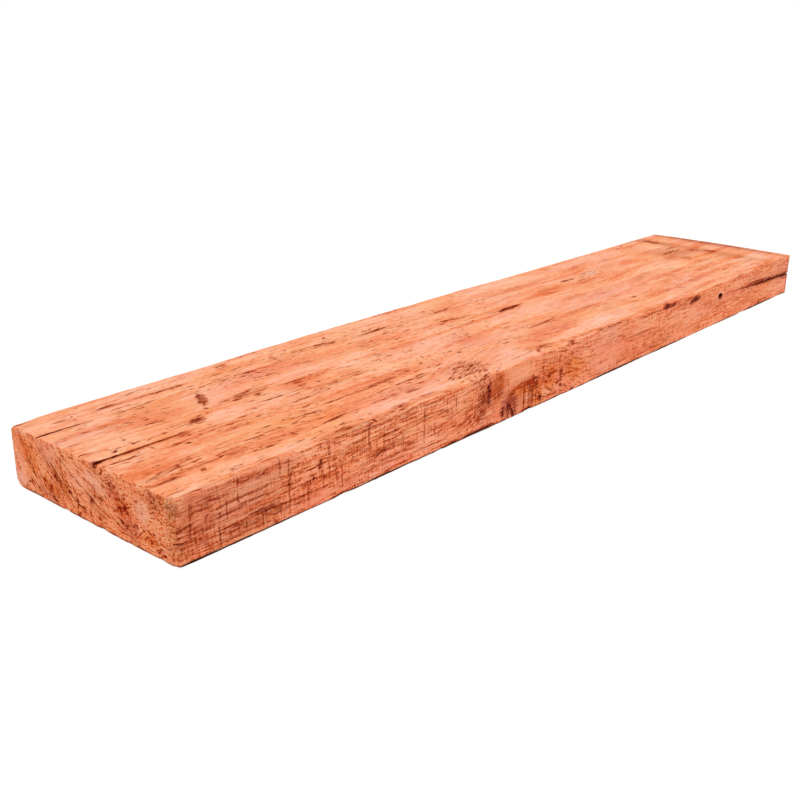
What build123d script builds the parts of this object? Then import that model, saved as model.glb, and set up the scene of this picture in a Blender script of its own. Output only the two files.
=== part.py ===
from build123d import *
import os
from math import hypot

# A rough sawn hardwood plank, nominally 200 x 50 mm in section and a metre long.
#
# It is one piece of sawn stock, lying flat with its heart side up. While it is worked
# out, x runs from the near end to the far end, y from the front edge to the back edge
# and z from the bottom face to the top face, as a sawyer would measure it. The finished
# plank is then moved so that its origin is at the middle of its bottom face.
#
# The saw wandered along the back edge, so the plank is widest before its middle. Its
# far end was docked by hand and bows out. The lower back edge near the near end is wane:
# there the plank reaches the outside of the log that it was cut from.

# Overall sizes, in millimetres
length = 1003.0  # to the crown of the far end
width = 203.0  # to the widest place of the back edge
thickness = 50.0

# Outline seen from above
back_inset_near = 3.5  # how far inside the full width the back edge starts
back_inset_far = 5.5
saw_wander = (  # share of the length, and how far inside the full width the back edge is there
    (0.16, 3.2),
    (0.27, 0.5),
    (0.41, 0.1),
    (0.55, 0.6),
    (0.69, 3.6),
    (0.86, 4.4),
)
far_end_bow = 5.0

# Wear of the sawn edges, as radii
corner_wear = 3.0  # the four upright edges
top_wear = 1.2
bottom_wear = 1.6

# The upper back corner of the near end, knocked off at a slope
knock_width = 5.0  # across the top face
knock_height = 6.0  # down the back edge
knock_reach = 45.0  # along the plank

# The log: its pith runs along the plank, above the top face
pith_from_front = 47.0
pith_above_top = 73.0
wane_depth = 5.5  # how deep the log's outside cuts the lower back edge at the near end
wane_reach = 520.0  # how far along it has run out

# Two drying checks, open at the near end and on the top face
long_check_from_front = 89.0
long_check_reach = 74.0
long_check_mouth = 2.4
long_check_depth = 5.0
short_check_from_back = 38.0
short_check_reach = 46.0
short_check_mouth = 1.5
short_check_depth = 3.0

# Gum pocket in the top face
pocket_from_near = 534.0
pocket_from_front = 117.0
pocket_length = 38.0
pocket_width = 8.0
pocket_depth = 6.0
pocket_floor_length = 26.0
pocket_floor_width = 2.5

# Insect gallery, bored at a slant into the front edge
gallery_from_far = 208.0
gallery_below_top = 16.0
gallery_diameter = 7.0
gallery_depth = 30.0  # along the slant
gallery_slant = 42.0  # degrees between the gallery and the front edge

# Shake along a growth ring, from the gallery to the far end
shake_below_top_at_far = 24.0
shake_mouth = 1.4
shake_depth = 3.0
shake_dip = 1.2  # how much lower its root lies than its mouth

# Knot in the front edge, split as it dried
knot_from_near = 376.0
knot_check_height = 17.0
knot_check_mouth = 3.2
knot_check_depth = 6.0
knot_check_spread = 7.0  # how far each foot stands from the middle of the knot
knot_check_gap = 1.6  # how far each tip stands from it

# How far the cutting shapes stand out of the wood
clear_of_wood = 2.0
tip_clear_of_wood = 0.4

top_z = thickness
near_back_y = width - back_inset_near
far_back_y = width - back_inset_far
far_corner_x = length - far_end_bow
gallery_mouth = Vector(length - gallery_from_far, 0, top_z - gallery_below_top)


def sawn_board():
    """The board as it left the saw: its outline, its thickness and its worn edges."""
    wander = [(share * length, width - inset) for share, inset in reversed(saw_wander)]
    front = Line((0, 0), (far_corner_x, 0))
    far_end = ThreePointArc((far_corner_x, 0), (length, width / 2), (far_corner_x, far_back_y))
    back = Spline((far_corner_x, far_back_y), *wander, (0, near_back_y))
    near_end = Line((0, near_back_y), (0, 0))
    outline = make_face([front, far_end, back, near_end])
    board = extrude(fillet(outline.vertices(), corner_wear), amount=thickness)
    board = fillet(board.faces().sort_by(Axis.Z)[-1].edges(), top_wear)
    return fillet(board.faces().sort_by(Axis.Z)[0].edges(), bottom_wear)


def log():
    """The log's outside, a long cone round the pith that leaves wane on the lower back edge."""
    pith = Vector(0, pith_from_front, top_z + pith_above_top)
    arris_radius = hypot(near_back_y - pith.Y, pith.Z)
    taper = wane_depth / wane_reach
    near_radius = arris_radius - wane_depth - taper * clear_of_wood
    full_length = length + 2 * clear_of_wood
    far_radius = near_radius + taper * full_length
    cone = Cone(near_radius, far_radius, full_length, align=(Align.CENTER, Align.CENTER, Align.MIN))
    return Pos(-clear_of_wood, pith.Y, pith.Z) * Rot(0, 90, 0) * cone


def knocked_corner():
    """What is missing of the upper back edge: widest at the near end, and run out by knock_reach."""
    outer_y = near_back_y + knock_width
    outer_z = top_z + knock_height
    slope_top = Vector(-clear_of_wood, near_back_y - 2 * knock_width, outer_z)
    slope_foot = Vector(-clear_of_wood, outer_y, top_z - 2 * knock_height)
    section = make_face(Polyline(Vector(-clear_of_wood, outer_y, outer_z), slope_top, slope_foot, close=True))
    return loft([section, Vertex(knock_reach, near_back_y + tip_clear_of_wood, top_z)])


def split(start, finish, inward, mouth, depth):
    """A wedge to cut away: widest and deepest at start, and closed to nothing at finish.

    start and finish are points on the wood's surface, and inward points into the wood.
    """
    inward = inward.normalized()
    along = (finish - start).normalized()
    across = inward.cross(along).normalized() * (mouth / 2)
    opening = start - along * clear_of_wood
    lip = opening - inward * clear_of_wood
    root = opening + inward * depth
    section = make_face(Polyline(lip + across, lip - across, root, close=True))
    return loft([section, Vertex(*(finish - inward * tip_clear_of_wood))])


def end_checks():
    """The drying checks at the near end, each on a ray of the wood, in line with the pith."""
    checks = []
    for y, reach, mouth, depth in (
        (long_check_from_front, long_check_reach, long_check_mouth, long_check_depth),
        (near_back_y - short_check_from_back, short_check_reach, short_check_mouth, short_check_depth),
    ):
        away_from_pith = Vector(0, y - pith_from_front, -pith_above_top)
        start = Vector(0, y, top_z)
        checks.append(split(start, start + Vector(reach, 0, 0), away_from_pith, mouth, depth))
    return checks


def lens(long, wide):
    """A flat shape of two arcs that meet in points, as a gum pocket opens."""
    one_side = ThreePointArc((-long / 2, 0), (0, wide / 2), (long / 2, 0))
    other_side = ThreePointArc((long / 2, 0), (0, -wide / 2), (-long / 2, 0))
    return make_face([one_side, other_side])


def gum_pocket():
    """The pocket, which narrows from its mouth in the top face down to its floor."""
    mouth = Pos(pocket_from_near, pocket_from_front, top_z) * lens(pocket_length, pocket_width)
    floor_place = Pos(pocket_from_near, pocket_from_front, top_z - pocket_depth)
    floor = floor_place * lens(pocket_floor_length, pocket_floor_width)
    return loft([floor, mouth], ruled=True) + extrude(mouth, amount=clear_of_wood)


def gallery():
    """The insect gallery, round in section and closed by a round end."""
    radius = gallery_diameter / 2
    full_depth = gallery_depth + gallery_diameter
    bore = Cylinder(radius, full_depth, align=(Align.CENTER, Align.CENTER, Align.MIN))
    blind_end = Pos(0, 0, full_depth) * Sphere(radius)
    into_wood = Rot(0, 0, gallery_slant) * Rot(0, 90, 0)
    return Pos(gallery_mouth) * into_wood * Pos(0, 0, -gallery_diameter) * (bore + blind_end)


def shake():
    """The split along a growth ring, widest at the far end and closed at the gallery."""
    start = Vector(far_corner_x, 0, top_z - shake_below_top_at_far)
    return split(start, gallery_mouth, Vector(0, shake_depth, -shake_dip), shake_mouth, shake_depth)


def knot_checks():
    """The two splits in the knot, open at its foot, that lean together like a gable."""
    checks = []
    for side in (-1, 1):
        foot = Vector(knot_from_near + side * knot_check_spread, 0, 0)
        tip = Vector(knot_from_near + side * knot_check_gap, 0, knot_check_height)
        checks.append(split(foot, tip, Vector(0, 1, 0), knot_check_mouth, knot_check_depth))
    return checks


plank = sawn_board() & log()
for cut in (knocked_corner(), *end_checks(), gum_pocket(), gallery(), shake(), *knot_checks()):
    plank = plank - cut
plank = Pos(-length / 2, -width / 2, 0) * plank

os.makedirs("parts", exist_ok=True)
export_step(plank, "parts/plank.step")
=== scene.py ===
import math

import bmesh
import bpy
import numpy as np
from mathutils import Matrix, Vector, noise


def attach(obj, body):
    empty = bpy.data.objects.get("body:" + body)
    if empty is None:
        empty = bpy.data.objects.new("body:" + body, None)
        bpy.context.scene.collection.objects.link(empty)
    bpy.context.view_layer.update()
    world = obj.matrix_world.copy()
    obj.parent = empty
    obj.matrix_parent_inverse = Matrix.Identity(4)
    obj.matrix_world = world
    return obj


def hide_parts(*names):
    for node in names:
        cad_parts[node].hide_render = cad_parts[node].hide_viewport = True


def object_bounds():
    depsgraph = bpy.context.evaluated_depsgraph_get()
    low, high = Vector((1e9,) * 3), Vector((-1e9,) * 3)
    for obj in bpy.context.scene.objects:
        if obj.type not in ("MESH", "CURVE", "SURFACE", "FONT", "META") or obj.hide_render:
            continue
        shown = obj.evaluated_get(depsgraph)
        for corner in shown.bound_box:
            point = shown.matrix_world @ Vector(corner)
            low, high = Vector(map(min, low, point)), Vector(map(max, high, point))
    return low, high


bl_info = {
    "name": "Rough Sawn Plank",
    "version": (1, 0, 0),
    "blender": (4, 5, 0),
    "location": "3D View > Sidebar > Plank",
    "description": "A rough sawn hardwood plank, with its grain, saw marks, splits, knots and gum",
    "category": "Add Mesh",
}

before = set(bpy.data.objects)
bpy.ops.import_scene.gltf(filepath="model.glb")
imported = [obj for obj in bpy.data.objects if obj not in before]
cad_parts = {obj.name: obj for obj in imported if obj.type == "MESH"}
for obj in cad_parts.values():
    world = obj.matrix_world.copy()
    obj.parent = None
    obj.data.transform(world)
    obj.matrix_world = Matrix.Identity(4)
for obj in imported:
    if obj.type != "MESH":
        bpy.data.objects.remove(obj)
cad_low, cad_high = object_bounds()
cad_size = cad_high - cad_low

MM = 0.001


def colour_of(name, description, red, green, blue):
    """A colour that the sidebar shows."""
    return bpy.props.FloatVectorProperty(
        name=name, description=description, default=(red, green, blue), size=3, subtype="COLOR")


def distance_of(name, description, default):
    """A distance that the sidebar shows."""
    return bpy.props.FloatProperty(
        name=name, description=description, default=default, unit="LENGTH", subtype="DISTANCE")


def number_of(name, description, default, **more):
    """A plain number that the sidebar shows."""
    return bpy.props.FloatProperty(name=name, description=description, default=default, min=0, **more)


def share_of(name, description, default):
    """A number from 0 to 1 that the sidebar shows."""
    return number_of(name, description, default, max=1, subtype="FACTOR")


class PlankShape(bpy.types.PropertyGroup):
    """The sizes of the sawn plank, measured from its near end, front edge and underside."""

    length: distance_of("Length", "From the near end to the crown of the far end", cad_size.x)
    width: distance_of("Width", "From the front edge to the widest place of the back edge", cad_size.y)
    thickness: distance_of("Thickness", "From the underside to the top face", cad_size.z)
    cell_along: distance_of("Cell Along", "Length of one face of the mesh, along the grain", 4.5 * MM)
    cell_across: distance_of("Cell Across", "Width of one face of the mesh", 2.4 * MM)
    far_end_bow: distance_of("Far End Bow", "How far the middle of the far end stands out", 5 * MM)
    arris_wear: distance_of("Arris Wear", "Radius that the long edges are worn to", 1.3 * MM)
    corner_wear: distance_of("Corner Wear", "Radius that the upright edges are worn to", 2.2 * MM)
    relief: distance_of("Relief", "How far the saw left the faces uneven", 0.4 * MM)


class WoodLook(bpy.types.PropertyGroup):
    """The colours and the finish of the sawn wood."""

    top_pale: colour_of("Top Pale", "Palest wood of the top face", 0.965, 0.535, 0.355)
    top_wood: colour_of("Top Wood", "Plain wood of the top face", 0.965, 0.37, 0.18)
    top_brown: colour_of("Top Brown", "Darker grain of the top face", 0.84, 0.235, 0.095)
    top_dark: colour_of("Top Dark", "Darkest grain of the top face", 0.56, 0.11, 0.034)
    side_pale: colour_of("Side Pale", "Palest wood of the edges", 1.0, 0.44, 0.26)
    side_wood: colour_of("Side Wood", "Plain wood of the edges", 0.96, 0.285, 0.128)
    side_brown: colour_of("Side Brown", "Darker grain of the edges", 0.64, 0.14, 0.046)
    side_dark: colour_of("Side Dark", "Darkest grain of the edges", 0.36, 0.045, 0.010)
    end_pale: colour_of("End Pale", "Palest rings of the ends", 1.0, 0.425, 0.222)
    end_wood: colour_of("End Wood", "Plain rings of the ends", 0.98, 0.268, 0.099)
    end_brown: colour_of("End Brown", "Darker rings of the ends", 0.70, 0.145, 0.038)
    end_dark: colour_of("End Dark", "Open pores of the ends", 0.40, 0.055, 0.010)
    bruise: colour_of("Bruise", "What bruised wood keeps of its colour", 0.56, 0.40, 0.48)
    heart: colour_of("Red Heart", "What reddish heartwood keeps of its colour", 0.93, 0.66, 0.56)
    rust: colour_of("Rust", "What brown stains and torn fibres keep of their colour", 0.50, 0.175, 0.058)
    shadow: colour_of("Shadow", "What scratches and hollows keep of their colour", 0.39, 0.12, 0.035)
    pale: colour_of("Pale", "Pale patches of the wood", 1.0, 0.57, 0.39)
    rosy: colour_of("Rosy", "Rosy patches of the wood", 0.96, 0.42, 0.30)
    tan: colour_of("Tan", "What a tan patch keeps of its colour", 0.93, 0.77, 0.48)
    weathered: colour_of("Weathered", "What the greyed corner keeps of its colour", 0.74, 0.86, 0.82)
    dusk: colour_of("Dusk", "What duller wood keeps of its colour", 0.74, 0.64, 0.56)
    # Dried gum, and also the painted shade deep in the hollows and under the lower front edge.
    gum: colour_of("Gum", "Dried gum in the pocket and the veins", 0.085, 0.014, 0.009)
    # Painted shadow: the dark given to the lower edges, where the plank meets the floor.
    painted_contact_shadow: colour_of("Contact", "What wood keeps of its colour where it meets the floor", 0.05, 0.04, 0.06)
    roughness: share_of("Roughness", "How dull the sawn wood is", 0.85)


class StageLook(bpy.types.PropertyGroup):
    """The floor, the light and the camera."""

    floor_size: distance_of("Floor Size", "Side of the square floor", 60.0)
    floor_grey: share_of("Floor Grey", "How pale the floor is to the light that it throws back", 0.75)
    floor_shade: share_of("Floor Shade", "How much of the light and shade on the floor is seen", 0.28)
    floor_glow: share_of("Floor Glow", "How bright the floor is seen besides", 0.78)
    sky: number_of("Sky", "Strength of the even light from all round", 0.66)
    sun: number_of("Sun", "Strength of the broad lamp", 1.48)
    lens: number_of("Lens", "Focal length of the camera", 48.02, unit="CAMERA")


def deselect_all():
    """Leaves nothing selected, as the CAD nodes are once they are loaded."""
    if bpy.context.object and bpy.context.object.mode != "OBJECT":
        bpy.ops.object.mode_set(mode="OBJECT")
    bpy.ops.object.select_all(action="DESELECT")


def select_in_edit(piece, kind, wanted):
    """Selects the piece's edges or faces for which wanted is true, and nothing else."""
    bpy.ops.mesh.select_all(action="DESELECT")
    bpy.ops.mesh.select_mode(type=kind)
    mesh = bmesh.from_edit_mesh(piece.data)
    for part in mesh.edges if kind == "EDGE" else mesh.faces:
        part.select_set(wanted(part))
    bmesh.update_edit_mesh(piece.data)


def points_of(piece):
    """The places of the piece's vertices, as rows of an array."""
    places = np.empty(len(piece.data.vertices) * 3)
    piece.data.vertices.foreach_get("co", places)
    return places.reshape(-1, 3)


def move_points(piece, places):
    """Puts the piece's vertices at the places given."""
    piece.data.vertices.foreach_set("co", places.ravel())
    piece.data.update()


def smooth(share):
    """The share, held between 0 and 1, with soft ends."""
    share = np.clip(share, 0, 1)
    return share * share * (3 - 2 * share)


def ease(where, stations, values):
    """A smooth line through the values at the stations."""
    index = np.clip(np.searchsorted(stations, where) - 1, 0, len(stations) - 2)
    stations, values = np.array(stations), np.array(values)
    share = smooth((where - stations[index]) / (stations[index + 1] - stations[index]))
    return values[index] * (1 - share) + values[index + 1] * share


def rough(places, scale, seed=0.0):
    """Noise from -1 to 1 at each place, for a pattern as large as scale along each axis."""
    stretched = places / np.array(scale) + seed
    return np.array([noise.noise(Vector(place)) for place in stretched])


# Shape of the blank

SAW_WANDER = (  # share of the length, and how far inside the full width the back edge is
    (0.0, 3.5), (0.16, 3.2), (0.27, 0.5), (0.41, 0.0), (0.55, 0.5), (0.69, 3.6), (0.86, 4.4), (1.0, 5.5),
)
KNOCK = (0.045, 0.005, 0.006)  # reach along the back edge, width and height of the knocked-off corner
PITH = (0.047, 0.123)  # from the front edge, and above the underside
WANE = (0.0055, 0.520)  # depth at the near end, and how far along it has run out
KNOT_MIDDLE = (396, 0, 0)  # on the lower front edge, in millimetres along, across and up
KNOT_REACH = (28, 70, 30)  # how far its heart reaches each way
FRONT_CHIPS = (  # of the lower front edge: middle from the near end, half length and height, in millimetres
    (157, 12, 0.8), (232, 30, 0.3), (273, 7, 0.7), (457, 8, 0.5), (404, 8, 0.9),
    (620, 60, 0.5), (760, 90, 0.5), (860, 15, 1.2), (969, 15, 0.5),
)
END_CHIPS = (  # of the lower near edge: middle from the front edge, half length and height, in millimetres
    (2, 4, 1.2), (18, 5, 0.7), (52, 4, 0.4), (84, 6, 0.9), (130, 6, 1.0), (171, 6, 0.4), (192, 3, 0.5),
)


def back_edge(shape, along):
    """How far the back edge is from the front edge, at each distance from the near end."""
    stations, insets = zip(*SAW_WANDER)
    return shape.width - ease(along / shape.length, stations, np.array(insets) * MM)


def add_blank(shape):
    """A closed block of even quads with worn edges, standing where the plank lies."""
    deselect_all()
    cells = [round(shape.length / shape.cell_along)]
    cells += [round(side / shape.cell_across) for side in (shape.width, shape.thickness)]
    bpy.ops.mesh.primitive_grid_add(x_subdivisions=cells[0], y_subdivisions=cells[1], size=1)
    plank = bpy.context.object
    plank.name = plank.data.name = "plank_sawn"
    bpy.ops.transform.resize(value=(shape.length, shape.width, 1))
    bpy.ops.object.transform_apply(scale=True)
    bpy.ops.object.mode_set(mode="EDIT")
    bpy.ops.mesh.select_all(action="SELECT")
    rise = (0, 0, shape.thickness)
    bpy.ops.mesh.extrude_region_move(TRANSFORM_OT_translate={"value": rise})

    def upright(edge):
        return abs(edge.verts[0].co.z - edge.verts[1].co.z) > shape.thickness / 2

    select_in_edit(plank, "EDGE", upright)
    bpy.ops.mesh.subdivide(number_cuts=cells[2] - 1)
    bpy.ops.mesh.select_all(action="SELECT")
    bpy.ops.mesh.normals_make_consistent(inside=False)
    wear_edges(plank, shape, upright_edges=True, radius=shape.corner_wear)
    wear_edges(plank, shape, upright_edges=False, radius=shape.arris_wear)
    bpy.ops.object.mode_set(mode="OBJECT")
    return plank


def wear_edges(plank, shape, upright_edges, radius):
    """Rounds the block's four upright edges, or all its level ones."""
    half_length, half_width = shape.length / 2, shape.width / 2
    near = 1e-5

    def on_edge(edge):
        middle = (edge.verts[0].co + edge.verts[1].co) / 2
        on_end = abs(abs(middle.x) - half_length) < near
        on_side = abs(abs(middle.y) - half_width) < near
        on_face = min(abs(middle.z), abs(middle.z - shape.thickness)) < near
        if upright_edges:
            return on_end and on_side
        return on_face and len(edge.link_faces) == 2 and edge.calc_face_angle(0) > math.radians(60)

    select_in_edit(plank, "EDGE", on_edge)
    bpy.ops.mesh.bevel(offset=radius, segments=2, profile=0.5, affect="EDGES", clamp_overlap=False)


def shape_outline(plank, shape):
    """Gives the block the wandering back edge, the bowed far end, the knocked corner and the wane."""
    places = points_of(plank)
    along = places[:, 0] + shape.length / 2
    across = places[:, 1] + shape.width / 2
    height = places[:, 2].copy()
    across = across * back_edge(shape, along) / shape.width
    off_middle = 2 * across / shape.width - 1
    along = along - shape.far_end_bow * off_middle ** 2 * (along / shape.length) ** 12

    reach, knock_width, knock_height = KNOCK
    near_back = shape.width - SAW_WANDER[0][1] * MM
    run_out = 1 - np.clip(along / reach, 0, 1)
    over = (across - near_back) / knock_width + (height - shape.thickness) / knock_height + run_out
    over = np.where((along < reach) & (over > 0), over, 0)
    across = across - over * knock_width / 2
    height = height - over * knock_height / 2

    pith_across, pith_height = PITH
    wane_depth, wane_reach = WANE
    radius = np.hypot(across - pith_across, height - pith_height)
    log_radius = math.hypot(near_back - pith_across, pith_height) - wane_depth * (1 - along / wane_reach)
    inward = np.minimum(1, log_radius / radius)
    across = pith_across + (across - pith_across) * inward
    height = pith_height + (height - pith_height) * inward

    height = height + chipped(height, along, across, FRONT_CHIPS) + chipped(height, across, along, END_CHIPS)
    move_points(plank, np.stack([along - shape.length / 2, across - shape.width / 2, height], axis=1))


def chipped(height, down_edge, in_from_edge, chips):
    """How much each place near a lower edge is raised where the edge is chipped."""
    lift = np.zeros(len(height))
    for middle, half_length, chip_height in chips:
        here = smooth(1 - abs(down_edge / MM - middle) / half_length) * chip_height * MM
        lift = np.maximum(lift, here * smooth(1 - in_from_edge / (6 * MM)) * smooth(1 - height / (5 * MM)))
    return lift


# Hollows: each is cut by a round bar that follows its line, wide and deep as its own profile says

def add_bar(name, start, finish, into, half_width, depth, profile, wander=0.0, sides=10, rings=14):
    """A bar from start to finish, which lies half in the wood, for cutting one hollow.

    into points into the wood. profile gives the share of the width and depth at each share of the way.
    """
    start, finish, into = Vector(start), Vector(finish), Vector(into).normalized()
    line = finish - start
    across = into.cross(line).normalized()
    deselect_all()
    bpy.ops.mesh.primitive_cylinder_add(vertices=sides, radius=1, depth=1, end_fill_type="TRIFAN")
    bar = bpy.context.object
    bar.name = name
    bpy.ops.object.mode_set(mode="EDIT")

    def lengthwise(edge):
        return abs(edge.verts[0].co.z - edge.verts[1].co.z) > 0.5

    select_in_edit(bar, "EDGE", lengthwise)
    bpy.ops.mesh.subdivide(number_cuts=rings - 1)
    bpy.ops.object.mode_set(mode="OBJECT")
    unit = points_of(bar)
    way = np.clip(unit[:, 2] + 0.5, 0, 1)
    size = profile(way)
    middle = np.array(start) + way[:, None] * np.array(line)
    sway = rough(np.stack([way * line.length, way * 0, way * 0], axis=1), (6 * MM, 1, 1), seed=start.y * 97)
    ragged = 1 + 0.35 * rough(middle + unit * MM, (2 * MM, 2 * MM, 2 * MM))
    sideways = (unit[:, 0] * half_width * size * ragged + sway * wander)[:, None] * np.array(across)
    inwards = (unit[:, 1] * depth * size)[:, None] * np.array(into)
    move_points(bar, middle + sideways + inwards)
    return bar


def closing(way):
    """Open at the start and closed to nothing at the finish."""
    return np.clip(1.02 - way, 0, 1) ** 0.75


def lens(way):
    """Closed at both ends, as a gum pocket is."""
    return np.clip(np.sin(np.pi * np.clip(way, 0.01, 0.99)), 0.02, 1) ** 0.8


def blind(way):
    """Even all the way to a round end."""
    return np.sqrt(np.clip(1 - np.clip((way - 0.88) / 0.12, 0, 0.99) ** 2, 0, 1))


DOWN = (0, 0, -1)
INTO_FRONT = (0, 1, 0)
PINHOLES = (  # along, across and radius, in millimetres
    (23, 96.5, 1.3), (68, 71, 1.0), (122, 117.5, 1.1), (172, 111.5, 1.0), (227, 98, 0.9), (374, 60, 1.0),
    (676, 139, 1.3), (687, 137.5, 1.1), (666, 43, 1.2),
)


def add_cutters(shape):
    """The bars that cut every hollow, in millimetres from the near end, the front edge and the underside."""
    origin = Vector((-shape.length / 2, -shape.width / 2, 0))
    top = shape.thickness / MM

    def bar(name, start, finish, into, half_width, depth, profile, **more):
        start, finish = origin + Vector(start) * MM, origin + Vector(finish) * MM
        return add_bar(name, start, finish, into, half_width * MM, depth * MM, profile, **more)

    def from_pith(across):
        """The way that a check opens from the top face: along the ray from the pith."""
        return (0, across - round(PITH[0] / MM), round(top - PITH[1] / MM))

    bars = [
        bar("long_check", (-2, 89, top), (74, 89, top), from_pith(89), 1.2, 5, closing, wander=0.5 * MM),
        bar("short_check", (-2, 161, top), (46, 161, top), from_pith(161), 0.75, 3, closing, wander=0.3 * MM),
        bar("end_tear", (-2, 108.5, top), (11, 106.5, top), DOWN, 0.8, 2, closing),
        bar("gum_pocket", (515, 115.6, top), (553, 118, top), DOWN, 4, 6, lens, rings=20),
        bar("gallery", (791, -4, 34), (817, 20, 34), (1, -1, 0), 3.5, 3.5, blind, sides=16),
        bar("knot_check_left", (369, 0, -1), (374, 0, 16), INTO_FRONT, 1.5, 6, closing, wander=0.4 * MM),
        bar("knot_check_right", (383, 0, -1), (378, 0, 15), INTO_FRONT, 1.3, 5, closing, wander=0.4 * MM),
        bar("knot_chip", (396, 0, -1), (404, 0, 4), INTO_FRONT, 2.0, 3, closing),
        bar("corner_tear", (-2, 0, 18), (7, 0, 17), INTO_FRONT, 1.0, 3, closing),
        bar("corner_tear_low", (-2, 0, 26), (5, 0, 27), INTO_FRONT, 0.8, 3, closing),
    ]
    for along, across, radius in PINHOLES:
        start, finish = (along, across, top + 1), (along + 0.5, across, top - 3)
        bars.append(bar("pinhole", start, finish, (1, 0, 0), radius * 1.4, radius, blind, rings=4, sides=8))
    shake = bar("shake", (1004, 0, 26), (800, 0, 34), (0, 6, -2.5), 0.7, 3, closing,
                wander=0.5 * MM, rings=60)
    return [bars, [shake]]


def cut_hollows(plank, shape):
    """Cuts every hollow out of the plank, and takes the cutters away."""
    for bars in add_cutters(shape):
        deselect_all()
        for bar in bars:
            bar.select_set(True)
        bpy.context.view_layer.objects.active = bars[0]
        if len(bars) > 1:
            bpy.ops.object.join()
        cutter = bpy.context.object
        bpy.ops.object.mode_set(mode="EDIT")
        bpy.ops.mesh.select_all(action="SELECT")
        bpy.ops.mesh.normals_make_consistent(inside=False)
        bpy.ops.object.mode_set(mode="OBJECT")
        deselect_all()
        plank.select_set(True)
        bpy.context.view_layer.objects.active = plank
        cut = plank.modifiers.new("cut", "BOOLEAN")
        cut.operation = "DIFFERENCE"
        cut.solver = "MANIFOLD"
        cut.object = cutter
        bpy.ops.object.modifier_apply(modifier=cut.name)
        bpy.data.objects.remove(cutter)


def add_relief(plank, shape):
    """Moves the faces in and out as the saw and the torn grain left them."""
    places = points_of(plank)
    normals = np.empty(len(places) * 3)
    plank.data.vertices.foreach_get("normal", normals)
    normals = normals.reshape(-1, 3)
    waves = rough(places, (70 * MM, 40 * MM, 30 * MM))
    torn = rough(places, (14 * MM, 5 * MM, 5 * MM), seed=7.0)
    bites = rough(places, (6 * MM, 40 * MM, 40 * MM), seed=3.0) * (1 - abs(normals[:, 0]))
    fuzz = rough(places, (5 * MM, 5 * MM, 5 * MM), seed=11.0)
    height = shape.relief * (0.5 * waves + 0.5 * torn + 0.35 * bites + 0.35 * fuzz)
    places = places + normals * height[:, None]
    places[:, 2] = np.clip(places[:, 2], 0, None)
    move_points(plank, places)


# Stains, one attribute of the mesh for each kind. A spot is its middle, along and across on the top face,
# along and up on the front edge or across and up on the near end, its half length and half width, all in
# millimetres, and perhaps its turn in degrees.

TOP_STROKES = (
    (16, 89.3, 22, 1.6), (46, 89.3, 30, 1.0), (2, 89, 3, 3), (12, 161, 16, 1.1), (32, 161, 14, 0.7),
    (6, 107.5, 5.5, 0.8, -10), (9, 9.3, 7, 0.7), (27, 53.5, 5.5, 0.6), (204, 55.3, 9, 0.8),
    (241, 41.8, 6, 0.5), (58.5, 11, 2.2, 0.9), (23, 96.5, 2.4, 1.6, 25), (68, 71, 1.8, 1.6),
    (68, 75, 0.8, 0.8), (122, 117.5, 2.4, 1.7), (173, 111.6, 2.2, 1.8, 25), (203, 159.5, 3, 1.4),
    (374, 60, 3, 1.2, 25), (152, 44, 12, 0.5, 14), (162, 47, 3, 0.9, 15), (320, 183, 3.4, 2, 30),
    (178, 45.5, 5, 0.6), (155, 57, 4, 0.6), (132, 28, 1.2, 2.4), (303, 100, 4.5, 0.9, -35),
    (306.5, 94.5, 0.9, 4.5), (41, 103, 0.6, 14, 3), (45.5, 78, 0.7, 10, 3), (45, 27, 0.5, 4),
    (46, 10, 0.5, 5), (39, 170, 0.5, 4, -20), (40, 178, 0.5, 5, -20), (46, 178, 0.4, 4, -20),
    (193.5, 190, 0.8, 2), (194, 182, 0.8, 4), (339, 80, 0.7, 30), (107, 71.5, 34, 0.45, 2),
    (154, 73.6, 16, 0.5, 3), (187, 76.8, 10, 0.6, 4), (222, 83.5, 22, 0.6, 5), (215, 113.5, 13, 0.8),
    (370, 164.5, 32, 0.8), (85, 105, 12, 0.4, 4), (175, 27, 12, 1.0, 6), (102, 102, 2.8, 2.1, 40),
    (105.5, 105.5, 2.2, 1.1, 40), (98, 98, 2.2, 1.3, 30), (91.5, 97.5, 1.6, 1.3), (107, 100, 1.7, 1),
    (98.6, 104.6, 1.5, 1), (109, 109, 1.7, 0.8, 40), (137.4, 146, 2.4, 1.3, 60), (131.6, 138.4, 3.8, 1.8, 62),
    (128.8, 132.6, 3, 1.5, 60), (127.4, 126.8, 2.4, 1.3, 60), (134, 142.6, 2.6, 1.3, 60),
    (204, 160, 2.6, 1.2, -20), (228.8, 97.4, 1.7, 1.3, 30), (675, 139, 4, 1.8), (687, 137.5, 3.4, 1.4),
    (666, 43, 4, 2), (335, 1, 7, 1, 25), (343, 3, 3, 0.8, 40),
)
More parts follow.
